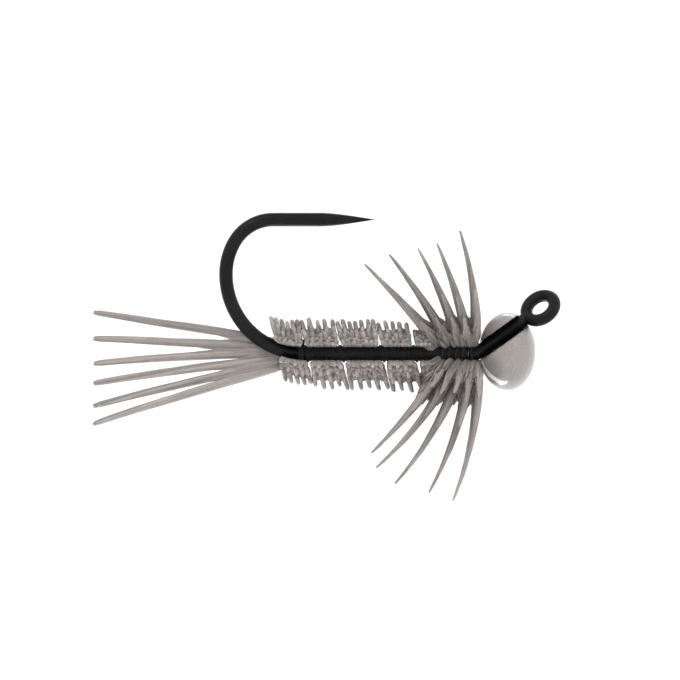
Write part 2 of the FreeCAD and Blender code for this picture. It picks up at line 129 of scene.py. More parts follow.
class Strands:
    """Many wires or fibres in one mesh. Each point keeps its strand's tone and its place along the strand."""

    def __init__(self):
        self.points, self.faces, self.tones, self.along = [], [], [], []

    def add(self, path, radii, sides=8, tone=0.5, flutes=0, depth=0.0, twist=0.0, flat=1.0, closed=False):
        path, first, second = ring_frames(path, closed)
        count = len(path)
        share = np.linspace(0, 1, count)
        turn = np.linspace(0, 2 * math.pi, sides, endpoint=False)[None, :] + twist * share[:, None]
        swell = 1 + depth * np.cos(flutes * (turn - twist * share[:, None])) if flutes else 1.0
        reach = np.array(radii)[:, None] * swell
        ring = (reach * np.cos(turn))[..., None] * first[:, None]
        ring = ring + (reach * flat * np.sin(turn))[..., None] * second[:, None]
        start = len(self.points)
        self.points += (path[:, None] + ring).reshape(-1, 3).tolist()
        self.tones += [tone] * (count * sides)
        self.along += np.repeat(share, sides).tolist()
        for n in range(count if closed else count - 1):
            low = start + n * sides
            high = start + (n + 1) % count * sides
            for s in range(sides):
                t = (s + 1) % sides
                self.faces.append((low + s, low + t, high + t, high + s))
        if not closed:
            self.faces.append(tuple(range(start + sides - 1, start - 1, -1)))
            self.faces.append(tuple(range(start + (count - 1) * sides, start + count * sides)))

    def make(self, name, material):
        mesh = bpy.data.meshes.new(name)
        mesh.from_pydata(self.points, [], self.faces)
        for label, values in (("tone", self.tones), ("along", self.along)):
            mesh.attributes.new(label, "FLOAT", "POINT").data.foreach_set("value", values)
        return set_out(name, mesh, material)


def set_out(name, mesh, material):
    """Puts a mesh in the scene, smooth and in its finish."""
    mesh.validate()
    mesh.polygons.foreach_set("use_smooth", [True] * len(mesh.polygons))
    mesh.materials.append(material)
    piece = bpy.data.objects.new(name, mesh)
    bpy.context.scene.collection.objects.link(piece)
    return piece


def worked(piece, kind, **settings):
    """Applies one modifier to a piece."""
    change = piece.modifiers.new(kind.lower(), kind)
    for name, value in settings.items():
        setattr(change, name, value)
    bpy.context.view_layer.update()
    seen = piece.evaluated_get(bpy.context.evaluated_depsgraph_get())
    old = piece.data
    piece.data = bpy.data.meshes.new_from_object(seen)
    piece.modifiers.clear()
    bpy.data.meshes.remove(old)


class Patch:
    """A socket of a finish. Arithmetic on it adds Math nodes; add() puts in a node of any other kind."""

    def __init__(self, tree, socket=None):
        self.tree = tree
        self.socket = socket

    def add(self, kind, settings=(), sockets=(), out=0):
        node = self.tree.nodes.new("ShaderNode" + kind)
        for name, value in dict(settings).items():
            if name == "stops":
                for stop, (place, colour) in zip(node.color_ramp.elements, value):
                    stop.position = place
                    stop.color = (*colour, 1)
            else:
                setattr(node, name, value)
        for name, value in dict(sockets).items():
            if isinstance(value, Patch):
                self.tree.links.new(value.socket, node.inputs[name])
            else:
                node.inputs[name].default_value = value
        return Patch(self.tree, node.outputs[out])

    def math(self, operation, first, second=0.0):
        return self.add("Math", {"operation": operation}, {0: first, 1: second})

    def __add__(self, other):
        return self.math("ADD", self, other)

    def __radd__(self, other):
        return self.math("ADD", other, self)

    def __sub__(self, other):
        return self.math("SUBTRACT", self, other)

    def __rsub__(self, other):
        return self.math("SUBTRACT", other, self)

    def __mul__(self, other):
        return self.math("MULTIPLY", self, other)

    def __rmul__(self, other):
        return self.math("MULTIPLY", other, self)

    def toward(self, way):
        """How far a place lies along a direction."""
        return self.add("VectorMath", {"operation": "DOT_PRODUCT"}, {0: self, 1: tuple(way)}, out="Value")

    def size(self):
        """The value without its sign."""
        return self.math("ABSOLUTE", self)

    def between(self, low, high):
        """0 below low, 1 above high and smooth from one to the other."""
        sockets = {"Value": self, "From Min": low, "From Max": high}
        return self.add("MapRange", {"interpolation_type": "SMOOTHSTEP"}, sockets)

    def choose(self, zero, one):
        """A colour: zero where this is 0, one where it is 1."""
        colours = {6: zero, 7: one}
        ready = {n: c if isinstance(c, Patch) else (*c, 1) for n, c in colours.items()}
        return self.add("Mix", {"data_type": "RGBA"}, {0: self, **ready}, out=2)


class Finish:
    """A new material with one Principled shader."""

    def __init__(self, name, **fixed):
        self.material = bpy.data.materials.new(name)
        self.material.use_nodes = True
        self.tree = self.material.node_tree
        self.shader = self.tree.nodes["Principled BSDF"]
        self.start = Patch(self.tree)
        for socket, value in fixed.items():
            self.set(socket.replace("_", " "), value)

    def set(self, socket, value):
        if isinstance(value, Patch):
            self.tree.links.new(value.socket, self.shader.inputs[socket])
        elif isinstance(value, tuple):
            self.shader.inputs[socket].default_value = (*value, 1)
        else:
            self.shader.inputs[socket].default_value = value

    def place(self):
        """Where a point is, in metres."""
        return self.start.add("TexCoord", out="Object")

    def noise(self, size, detail=3.0, where=None):
        """Cloudy values about 0.5, in patches about size metres across."""
        sockets = {"Vector": where or self.place(), "Scale": 1 / size, "Detail": detail}
        return self.start.add("TexNoise", sockets=sockets, out="Fac")

    def stored(self, name):
        """A value that the mesh holds at each point."""
        return self.start.add("Attribute", {"attribute_name": name}, out="Fac")

    def bump(self, height, deep):
        """Raises the surface by height times deep metres."""
        sockets = {"Height": height, "Distance": deep, "Strength": 1.0}
        self.set("Normal", self.start.add("Bump", sockets=sockets))


def black_wire_finish():
    finish = Finish("black_wire", Metallic=0.0, Specular_IOR_Level=0.14, Coat_Roughness=0.12)
    cloud = finish.noise(0.9 * mm)
    fine = finish.noise(0.06 * mm, detail=4.0)
    rubbed = finish.noise(0.35 * mm, detail=5.0).between(0.62, 0.74)
    base = cloud.between(0.35, 0.65).choose((0.0035, 0.0036, 0.0040), (0.0065, 0.0064, 0.0068))
    finish.set("Base Color", (rubbed * 0.6).choose(base, (0.016, 0.015, 0.015)))
    finish.set("Roughness", 0.32 + 0.16 * cloud + 0.12 * rubbed)
    finish.set("Coat Weight", 0.06 - 0.05 * rubbed)
    finish.bump(fine, 0.004 * mm)
    return finish.material


def hook_path():
    """The wire's centre line from the needle point to the eye's ring, and its radius at each point."""
    pen = Pen((bend_start_x, 0, shank_z), math.pi)
    pen.arc(bend_low_r, -(math.pi - two_turns), 34)
    pen.arc(bend_back_r, -bend_back_turn, 10)
    pen.arc(bend_top_r, -bend_top_turn, 18)
    taper_start = hook_point_x - point_length
    pen.straight(taper_start - pen.path[-1].x, 8)
    taper_from = len(pen.path) - 1
    pen.straight(point_length, 22)
    rear = pen.path[::-1]
    tip_share = [max(p.x - taper_start, 0) / point_length for p in pen.path[taper_from:]]
    slim = [(1 - share ** 1.35) * (1 + 0.16 * share * (1 - share)) for share in tip_share]
    belly = [max(wire_r * share, 0.012 * mm) for share in slim]
    radii = belly[::-1] + [wire_r] * (len(rear) - len(belly))
    pen = Pen((bend_start_x, 0, shank_z), 0.0)
    back = corner_r * math.tan(jig_angle / 2)
    pen.straight(corner.x - back - bend_start_x, 20)
    pen.arc(corner_r, jig_angle, 14)
    to_ring = pen.path[-1].length - eye_ring_r
    pen.straight(to_ring, 12)
    front = pen.path[1:]
    taper = 0.75 * mm
    for point in front:
        left = max(point.length - eye_ring_r, 0) if point.x > corner.x else 1.0
        radii.append(wire_r - (wire_r - eye_wire_r) * max(0.0, 1 - left / taper))
    return rear + front, radii


hook_point_x = hook_low.x
for vertex in frame["nodes"]["hook"].data.vertices:
    if vertex.co.z > shank_z + gape / 2:
        hook_point_x = max(hook_point_x, vertex.co.x)
black_wire = black_wire_finish()
wire = Strands()
wire.add(*hook_path(), sides=40)
hook = wire.make("hook_wire", black_wire)
ring = Strands()
ring_side = eye_way.cross(leg_way)
ring_steps = 96
ring_turns = [math.tau * (n + 0.5) / ring_steps for n in range(ring_steps)]
ring_path = [eye_ring_r * (math.cos(a) * leg_way + math.sin(a) * ring_side) for a in ring_turns]
ring.add(ring_path, [eye_wire_r] * ring_steps, sides=36, closed=True)
eye = ring.make("eye_ring", black_wire)
worked(hook, "BOOLEAN", object=eye, operation="UNION", solver="EXACT")
bpy.data.objects.remove(eye)
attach(hook, "root")
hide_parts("hook")


# --- Bead ------------------------------------------------------------------------------------------
# A round metal bead, drilled through and milled with a slot so that it can slide over the jig corner
# and seat on the leg. It is plated and sprayed a warm grey and rubbed at the lips of the slot. A thin
# pale crescent at its rear on the slot's side is a painted highlight in its colour.
bead_low, bead_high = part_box("bead")
bead_centre = (bead_low + bead_high) / 2
bead_half = 1.45 * mm
bead_r = (bead_high.z - bead_low.z) / 2
bead_hole_r = 0.42 * mm
bead_mouth_r = 0.62 * mm
bead_mouth_depth = 0.30 * mm
slot_r = wire_r + 0.05 * mm
slot_run = (-8 * mm, 2 * mm)                    # where the cutter starts and stops along the leg
flake_size = 0.05 * mm
bead_grey = (0.262, 0.234, 0.219)
# The painted highlight: a pale crescent painted into the bead's colour along its rear, lower left edge.
painted_highlight_r = Vector((1.47, 0, 1.68)) * mm       # half width and half height of the ellipse it lies along
painted_highlight_lift = 0.10 * mm
painted_highlight_way = Vector((-0.92, 0, -0.39))        # from the bead's middle to the crescent's
painted_highlight_half = 0.062                           # half its width, as a share of the ellipse


def bead_blank(mesh_rings=72, turns=144):
    """The bead turned on a lathe: an ellipse with a drilled hole and a countersunk rear mouth."""
    start = math.asin(bead_hole_r / bead_r)
    end = math.pi - math.asin(bead_mouth_r / bead_r)
    angles = [start + (end - start) * n / mesh_rings for n in range(mesh_rings + 1)]
    profile = [(bead_half * math.cos(a), bead_r * math.sin(a)) for a in angles]
    profile.append((profile[-1][0] + bead_mouth_depth, bead_hole_r))
    spokes = [math.tau * n / turns for n in range(turns)]
    made = bmesh.new()
    rings = []
    for x, r in profile:
        circle = [(r * math.sin(a), r * math.cos(a)) for a in spokes]
        rings.append([made.verts.new((bead_centre.x + x, y, bead_centre.z + z)) for y, z in circle])
    for low, high in zip(rings, rings[1:] + rings[:1]):
        for n in range(turns):
            made.faces.new((low[n], low[n - 1], high[n - 1], high[n]))
    bmesh.ops.recalc_face_normals(made, faces=made.faces)
    mesh = bpy.data.meshes.new("bead")
    made.to_mesh(mesh)
    made.free()
    return mesh


def slot_cutter():
    """The milling cutter's sweep: round at the bottom of the slot and open towards -Y."""
    made = bmesh.new()
    arch = [math.pi * n / 32 for n in range(33)]
    reach = 2 * bead_r
    round_bottom = [(math.cos(a) * slot_r, math.sin(a) * slot_r) for a in arch]
    outline = [(slot_r, -reach)] + round_bottom + [(-slot_r, -reach)]
    ends = []
    for place in slot_run:
        ends.append([made.verts.new(leg_way * place + leg_side * s + Vector((0, y, 0))) for s, y in outline])
    count = len(outline)
    for n in range(count):
        made.faces.new((ends[0][n - 1], ends[0][n], ends[1][n], ends[1][n - 1]))
    made.faces.new(ends[0])
    made.faces.new(ends[1][::-1])
    bmesh.ops.recalc_face_normals(made, faces=made.faces)
    mesh = bpy.data.meshes.new("slot_cutter")
    made.to_mesh(mesh)
    made.free()
    cutter = bpy.data.objects.new("slot_cutter", mesh)
    bpy.context.scene.collection.objects.link(cutter)
    return cutter


def grey_lacquer_finish():
    finish = Finish("grey_lacquer", Metallic=0.0, Specular_IOR_Level=0.5, Coat_Roughness=0.06, Coat_IOR=1.5)
    place = finish.place()
    sockets = {"Vector": place, "Scale": 1 / flake_size}
    flake = finish.start.add("TexVoronoi", {"feature": "F1"}, sockets, out="Color")
    sparkle = finish.start.add("SeparateColor", sockets={"Color": flake}, out=0).between(0.80, 1.0)
    cloud = finish.noise(1.3 * mm)
    from_lip = (place.toward(leg_side).size() - slot_r).size()
    worn = finish.noise(0.12 * mm, detail=5.0).between(0.46, 0.60)
    rubbed = (1 - from_lip.between(0.02 * mm, 0.09 * mm)) * worn
    # A pale crescent painted into the base colour on the -Y side at the rear, lower left: a painted
    # highlight.
    x = (place.toward((1, 0, 0)) - bead_centre.x) * (1 / painted_highlight_r.x)
    z = (place.toward((0, 0, 1)) - bead_centre.z - painted_highlight_lift) * (1 / painted_highlight_r.z)
    out = finish.start.math("SQRT", x * x + z * z)
    inward = (x * painted_highlight_way.x + z * painted_highlight_way.z).between(0.30, 0.85)
    near_side = 1 - place.toward((0, 1, 0)).between(0.05 * mm, 0.30 * mm)
    off_line = (out - 1).size() - inward * painted_highlight_half
    painted_highlight = (1 - off_line.between(-0.014, 0.004)) * near_side * inward.between(0.02, 0.10)
    darker = tuple(0.94 * c for c in bead_grey)
    paler = tuple(1.05 * c for c in bead_grey)
    grey = cloud.between(0.3, 0.7).choose(darker, paler)
    grey = (sparkle * 0.22).choose(grey, (0.55, 0.52, 0.50))
    # The painted highlight's pale colour, laid over the grey.
    grey = painted_highlight.choose(grey, (0.90, 0.89, 0.87))
    finish.set("Base Color", rubbed.choose(grey, (0.20, 0.165, 0.12)))
    finish.set("Metallic", rubbed * 0.8)
    finish.set("Roughness", 0.34 + 0.14 * cloud - 0.06 * rubbed)
    finish.set("Coat Weight", 1.0 - 0.8 * rubbed)
    finish.bump(finish.noise(0.10 * mm, detail=5.0), 0.0035 * mm)
    return finish.material


bead = set_out("bead_shell", bead_blank(), grey_lacquer_finish())
cutter = slot_cutter()
worked(bead, "BOOLEAN", object=cutter, operation="DIFFERENCE", solver="EXACT")
worked(bead, "BEVEL", width=0.035 * mm, segments=3, limit_method="ANGLE", angle_limit=math.radians(38))
bpy.data.objects.remove(cutter)
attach(bead, "root")
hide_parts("bead")


# --- Thread base -----------------------------------------------------------------------------------
# Waxed black tying thread, wound in touching turns from behind the head to the tail. It gives the
# feathers and the dubbing something to grip.
thread_r = 0.032 * mm


def winding(strands, rear_x, front_x, reach, thread, pitch, lean=0.0, z=None, y=0.0, steps=26, flat=0.55):
    """A thread wound round the X direction from rear_x to front_x, reach from the axis, its turns leaning."""
    turns = max((front_x - rear_x) / pitch, 1)
    count = int(turns * steps)
    height = shank_z if z is None else z
    path = []
    for n in range(count + 1):
        angle = math.tau * turns * n / count
        up = reach * math.cos(angle)
        x = rear_x + (front_x - rear_x) * n / count - math.tan(lean) * up
        path.append(Vector((x, y + reach * math.sin(angle), height + up)))
    strands.add(path, [thread] * len(path), sides=8, tone=0.5, flat=flat)


def black_thread_finish():
    finish = Finish("black_thread", Specular_IOR_Level=0.3, Sheen_Weight=0.15, Sheen_Roughness=0.5)
    fuzz = finish.noise(0.035 * mm, detail=4.0)
    finish.set("Base Color", fuzz.between(0.3, 0.75).choose((0.006, 0.006, 0.0065), (0.016, 0.0155, 0.0155)))
    finish.set("Roughness", 0.50 + 0.2 * fuzz)
    finish.bump(fuzz, 0.006 * mm)
    return finish.material


black_thread = black_thread_finish()
base_low, base_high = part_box("thread_base")
thread = Strands()
winding(thread, base_low.x + thread_r, base_high.x - thread_r, wire_r + 0.022 * mm, thread_r, 2.05 * thread_r)
base = thread.make("thread_base_turns", black_thread)
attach(base, "root")
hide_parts("thread_base")


# --- Tail ------------------------------------------------------------------------------------------
# Six stiff grey feather fibres, each a clump of barbs that cling together. They lie beside and under
# the wire, are bound in with a band of thread and fan out behind the bend.
dark_grey = (0.200, 0.178, 0.165)
pale_grey = (0.500, 0.455, 0.430)
dice = random.Random(7)
hinge = {joint["child"]: Vector(joint["pos_m"]) for joint in frame["joints"]}
tail_sag = [0.02, 0.03, 0.11, 0.08, 0.11, 0.11]
tail_web = [3.3, 4.6, 2.4, 3.9, 4.4]        # from the roots to where neighbouring fibres part
tail_girth = [
    (0.0, 0.125),
    (0.09, 0.170),
    (0.2, 0.212),
    (0.42, 0.216),
    (0.74, 0.182),
    (0.975, 0.150),
    (1.0, 0.105),
]
butt_length = 1.20 * mm


def feather_finish(name, low, high, streak):
    """Feather barbs: streaked along their length, each a little darker or paler than its neighbour."""
    finish = Finish(name, Specular_IOR_Level=0.22, Sheen_Weight=0.12, Sheen_Roughness=0.45)
    tone = finish.stored("tone")
    along = finish.stored("along")
    cloud = finish.noise(0.45 * mm)
    grain = finish.noise(streak, detail=4.0)
    mask = 0.50 * tone + 0.16 * cloud + 0.22 * grain - 0.06 * along + 0.06
    finish.set("Base Color", mask.between(0.05, 0.92).choose(low, high))
    finish.set("Roughness", 0.52 + 0.22 * grain)
    finish.bump(grain, 0.010 * mm)
    return finish.material


def girth_at(share, stations):
    """The radius at a share of the length, in metres, eased between the stations."""
    places = [s[0] for s in stations]
    sizes = [s[1] for s in stations]
    return float(np.interp(share, places, sizes)) * mm


class TailFibre:
    """Where a tail fibre starts and ends, and its sag, from its hinge and its box."""

    def __init__(self, number):
        self.node = "tail_fibre_%d" % number
        low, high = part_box(self.node)
        self.root = hinge[self.node]
        tip_r = 0.115 * mm
        tip_y = high.y - tip_r if (low.y + high.y) / 2 > self.root.y else low.y + tip_r
        tip_z = high.z - tip_r if (low.z + high.z) / 2 > self.root.z else low.z + tip_r
        tip = Vector((low.x + 0.01 * mm, tip_y, tip_z))
        self.way = (tip - self.root).normalized()
        self.length = (tip - self.root).length
        self.sag = tail_sag[number - 1] * mm

    def at(self, out):
        """The centre line's point at a distance from the root."""
        share = out / self.length
        return self.root + self.way * out + Vector((0, 0, 4 * self.sag * share * (1 - share)))


tail_feather = feather_finish("tail_feather", dark_grey, pale_grey, 0.05 * mm)
tail_fibres = [TailFibre(number) for number in range(1, 7)]
for number, fibre in enumerate(tail_fibres):
    strands = Strands()
    steps = 30
    for strand in range(9):
        core = strand == 8
        end = 1.0 if core else 1.0 - 0.018 * dice.random()
        twist = dice.uniform(0.4, 0.9)
        path = [fibre.at(-0.3 * mm)]
        radii = [0.05 * mm]
        for n in range(steps + 1):
            share = end * n / steps
            girth = girth_at(share, tail_girth)
            angle = math.tau * strand / 8 + twist * share * 3
            aside = Vector((0, math.cos(angle), math.sin(angle))) * girth * (0.0 if core else 0.52)
            path.append(fibre.at(share * fibre.length) + aside)
            radii.append(girth * (0.62 if core else 0.50))
        strands.add(path, radii, sides=10, tone=dice.uniform(0.2, 0.8), flutes=5, depth=0.10, twist=2.5)
    # Short barbs at the root close the space up to half way to each neighbour.
    for other in (number - 1, number + 1):
        if 0 <= other < 6:
            neighbour = tail_fibres[other]
            reach = tail_web[min(number, other)] * mm
            for row in range(7):
                for layer in (-1, 0, 1):
                    share = 0.5 * (row + 1) / 7
                    stop = reach * (1.16 - 0.90 * share) * (1 - 0.06 * dice.random())
                    path = []
                    radii = []
                    for n in range(13):
                        out = -0.25 * mm + (stop + 0.25 * mm) * n / 12
                        across = share + (0.5 - share) * 0.25 * n / 12
                        middle = fibre.at(out).lerp(neighbour.at(out), across)
                        path.append(middle + Vector((0, 0.10 * mm * layer * (1 - n / 14), 0)))
                        radii.append((0.090 - 0.082 * (n / 12) ** 4) * mm)
                    tone = dice.uniform(0.2, 0.8)
                    strands.add(path, radii, sides=8, tone=tone, flutes=4, depth=0.1, twist=2)
    piece = strands.make(fibre.node + "_barbs", tail_feather)
    fibre.at(-0.1 * mm)
    fibre.at(1.6 * mm)
    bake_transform(piece)
    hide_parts(fibre.node)

butts = Strands()
for fibre in tail_fibres:
    for strand in range(5):
        angle = math.tau * strand / 5
        off = Vector((0, math.cos(angle), math.sin(angle))) * 0.035 * mm
        path = [fibre.root + off - fibre.way * butt_length * n / 6 for n in range(7)]
        butts.add(path, [0.045 * mm] * 7, sides=8, tone=dice.uniform(0.1, 0.6))
tail_butts = butts.make("tail_butt_ends", tail_feather)
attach(tail_butts, "root")
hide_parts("tail_butts")

band_low, band_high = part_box("tail_wraps")
band = Strands()
band_r = (band_high.z - band_low.z) / 2 - thread_r
band_y = (band_low.y + band_high.y) / 2
for layer, tilt in enumerate((-0.06, 0.08)):
    rear, front = band_low.x + thread_r, band_high.x - thread_r
    reach = band_r - layer * thread_r
    winding(band, rear, front, reach, thread_r, 2.1 * thread_r, lean=tilt, y=band_y, flat=0.7)
tail_band = band.make("tail_thread_band", black_thread)
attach(tail_band, "root")
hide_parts("tail_wraps")


# --- Body ------------------------------------------------------------------------------------------
# Grey fur dubbing, spun on the thread and wound on in four tufts. Each is brushed up and down away from
# the wire, so that its fibres clump into short blunt fingers along the edges.
lean = math.radians(13)
finger_reach = {"upper": [1.80, 1.86, 1.86, 1.80], "lower": [2.12, 2.00, 1.92, 1.72]}    # front tuft first
solid_reach = {"upper": [1.22, 1.25, 1.25, 1.20], "lower": [1.42, 1.40, 1.36, 1.22]}
body_half_width = 1.36 * mm
foot = 0.385 * mm
tuft_fingers = {"upper": [5, 7, 5, 6], "lower": [4, 5, 5, 5]}
clump_girth = (0.060, 0.088, 0.104, 0.106, 0.102, 0.088, 0.045)
finger_girth = (0.060, 0.082, 0.096, 0.106, 0.112, 0.114, 0.112, 0.106, 0.096, 0.076, 0.036)
hair_girth = (0.026, 0.030, 0.032, 0.032, 0.030, 0.026, 0.018, 0.008)
dubbing = feather_finish("dubbing", dark_grey, pale_grey, 0.04 * mm)


def wire_line(x):
    """Height of the wire's axis at x, on the shank and round the first of the bend."""
    past = bend_start_x - x
    return shank_z if past <= 0 else shank_z + bend_low_r - math.sqrt(bend_low_r ** 2 - past ** 2)


def drum(across):
    """A tuft's height at a share of its half width, as a share of its height over the wire."""
    return math.sqrt(1 - 0.80 * across ** 2)


def dubbing_strand(strands, root_x, tip_x, across, reach, side, girths, sides=7):
    """A fibre that leaves the wire, runs out sideways and turns up (side +1) or down (side -1)."""
    start = Vector((root_x, 0.24 * mm * across, foot))
    out = body_half_width * across
    bend = Vector((root_x + (tip_x - root_x) * 0.3, out, 0.45 * mm))
    end = Vector((tip_x, out * 1.04, reach))
    # Most points lie near the tip, where a blunt end needs them.
    path = []
    for n in range(len(girths)):
        t = math.sin(math.pi / 2 * n / (len(girths) - 1))
        p = start * (1 - t) ** 2 + bend * 2 * t * (1 - t) + end * t ** 2
        path.append(Vector((p.x - math.tan(lean) * p.z * side, p.y, wire_line(p.x) + side * p.z)))
    strands.add(path, girths, sides=sides, tone=dice.uniform(0.1, 0.9), flutes=3, depth=0.10, twist=1.5)


def underfur(strands, rear_x, front_x, rise, side, taper=0.0):
    """The dense part of a tuft: rows of short fat clumps along and across the wire, touching one another."""
    rows = max(int((front_x - rear_x) / (0.115 * mm)), 1)
    for row in range(rows):
        for column in range(15):
            across = (column - 7) / 7
            x = rear_x + (front_x - rear_x) * (row + 0.5 + dice.uniform(-0.3, 0.3)) / rows
            x = min(max(x, rear_x + 0.05 * mm), front_x - 0.05 * mm)
            tall = (rise - taper * (x - rear_x)) * drum(across) * dice.uniform(0.90, 1.06)
            tall = max(tall, 0.5 * mm)
            girths = [g * mm for g in clump_girth]
            dubbing_strand(strands, x, x, across * 0.97, tall, side, girths)


def make_tuft(name, rear_x, front_x, number, side, half):
    """Blunt fingers in rows along and across the wire, with finer hairs about them, over dense underfur."""
    strands = Strands()
    room = front_x - rear_x
    tall = finger_reach[half][number - 1] * mm
    count = tuft_fingers[half][number - 1]
    underfur(strands, rear_x, front_x, solid_reach[half][number - 1] * mm, side)
    places = [0.05 + 0.90 * n / (count - 1) + dice.uniform(-0.10, 0.10) / count for n in range(count)]
    heights = [dice.uniform(0.88, 1.0) for _ in range(count)]
    for place, height in zip(places, heights):
        for column in range(11):
            across = (column - 5) / 5
            middle = abs(column - 5) <= 1
            shift = 0.0 if middle else dice.uniform(-0.5, 0.5) / count
            spread = 0.34 * mm * (place - 0.5)
            root_x = rear_x + room * (place + shift * 0.5)
            root_x = min(max(root_x, rear_x + 0.09 * mm), front_x - 0.09 * mm)
            tip_x = root_x + spread + dice.uniform(-0.03, 0.03) * mm
            reach = tall * height * drum(across) * (1.0 if middle else dice.uniform(0.84, 0.94))
            girths = [g * mm for g in finger_girth]
            dubbing_strand(strands, root_x, tip_x, across, reach, side, girths, sides=9)
            for _ in range(3):
                near = across + dice.uniform(-0.10, 0.10)
                tip = tip_x + dice.uniform(-0.07, 0.07) * mm
                short = reach * dice.uniform(0.70, 0.95)
                fine = [g * mm for g in hair_girth]
                dubbing_strand(strands, root_x, tip, near, short, side, fine, sides=5)
    return strands.make(name, dubbing)


for number in range(1, 5):
    for half, side in (("upper", 1), ("lower", -1)):
        node = "dubbing_%s_%d" % (half, number)
        low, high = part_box(node)
        outer = (high.z - shank_z) if side > 0 else (shank_z - low.z)
        inner = (low.z - shank_z) if side > 0 else (shank_z - high.z)
        # The tuft leans, so its box reaches back at its outer edge (over the wire) or at its foot (under it).
        rear = low.x + math.tan(lean) * (outer if side > 0 else -inner)
        front = high.x + math.tan(lean) * (inner if side > 0 else -outer)
        if number == 4:
            rear = low.x
        piece = make_tuft(node + "_fur", rear + 0.02 * mm, front - 0.02 * mm, number, side, half)
        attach(piece, "root")
        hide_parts(node)

binding = Strands()
gap_x = []
for number in range(1, 5):
    low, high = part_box("dubbing_upper_%d" % number)
    gap_x.append(high.x + math.tan(lean) * (low.z - shank_z) + 0.15 * mm)
binding_half = 0.075 * mm
binding_reach = wire_r + 0.085 * mm
for x in gap_x:
    rear, front = x - binding_half, x + binding_half
    winding(binding, rear, front, binding_reach, thread_r, 2.2 * thread_r, lean=lean, flat=0.8)
bindings = binding.make("gap_bindings", black_thread)
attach(bindings, "root")
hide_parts("binding_turns")


# --- Thorax ----------------------------------------------------------------------------------------
# A last pinch of the same dubbing between the body and the hackle. It props the barbs up.
for half, side in (("upper", 1), ("lower", -1)):
    node = "thorax_" + half
    low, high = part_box(node)
    outer = (high.z - shank_z) if side > 0 else (shank_z - low.z)
    inner = (low.z - shank_z) if side > 0 else (shank_z - high.z)
    rear = low.x + math.tan(lean) * (outer if side > 0 else -inner)
    strands = Strands()
    underfur(strands, rear + 0.02 * mm, high.x + 0.15 * mm, solid_reach[half][0] * mm, side, taper=0.15)
    piece = strands.make(node + "_fur", dubbing)
    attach(piece, "root")
    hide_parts(node)


# --- Hackle ----------------------------------------------------------------------------------------
# A soft grey feather wound five turns round the thread base. Its dark quill lies on the wire, and the
# barbs of each turn stand above and below it as a fan that sweeps back.
quill_r = 0.055 * mm
upper_bow = [0.05, 0.10, 0.12, 0.15, 0.25]
lower_bow = [0.15, 0.33, 0.35, 0.32, 0.35]
barbs = 9
barb_spread = math.radians(72)
barb_girth = [
    (0.0, 0.12),
    (0.10, 0.20),
    (0.24, 0.250),
    (0.45, 0.190),
    (0.70, 0.132),
    (0.95, 0.088),
    (1.0, 0.055),
]
web_reach = {1: (1.15, 2.8), -1: (1.85, 3.5)}     # web barbs between the fans and along them, over and under
web_side = 0.34 * mm                              # the web's half depth at the stem
web_flare = 0.13
web_barbs = 300
hackle_feather = feather_finish("hackle_feather", dark_grey, pale_grey, 0.05 * mm)


def quill_finish():
    finish = Finish("dark_quill", Specular_IOR_Level=0.4)
    grain = finish.noise(0.05 * mm, detail=4.0)
    finish.set("Base Color", grain.between(0.3, 0.7).choose((0.010, 0.009, 0.009), (0.028, 0.025, 0.023)))
    finish.set("Roughness", 0.35 + 0.2 * grain)
    finish.bump(grain, 0.005 * mm)
    return finish.material


stem_low, stem_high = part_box("hackle_stem")
stem = Strands()
stem_reach = (stem_high.z - stem_low.z) / 2 - quill_r
stem_pitch = 0.348 * mm
rear, front = stem_low.x + quill_r, stem_high.x - quill_r
winding(stem, rear, front, stem_reach, quill_r, stem_pitch, steps=36, flat=0.9)
quill = stem.make("hackle_quill", quill_finish())
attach(quill, "root")
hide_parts("hackle_stem")


def barb_path(hub, way, forward, length, bow, angle, reach, lift):
    """Points along a barb that leaves the hub at angle across the fan and bows forward with it."""
    path = []
    for n in range(15):
        share = n / 14
        out = share * reach * math.cos(angle)
        v = out / length
        aside = Vector((0, share * reach * math.sin(angle), 0))
        path.append(hub + way * out + aside + forward * (4 * bow * v * (1 - v) + lift * share))
    return path


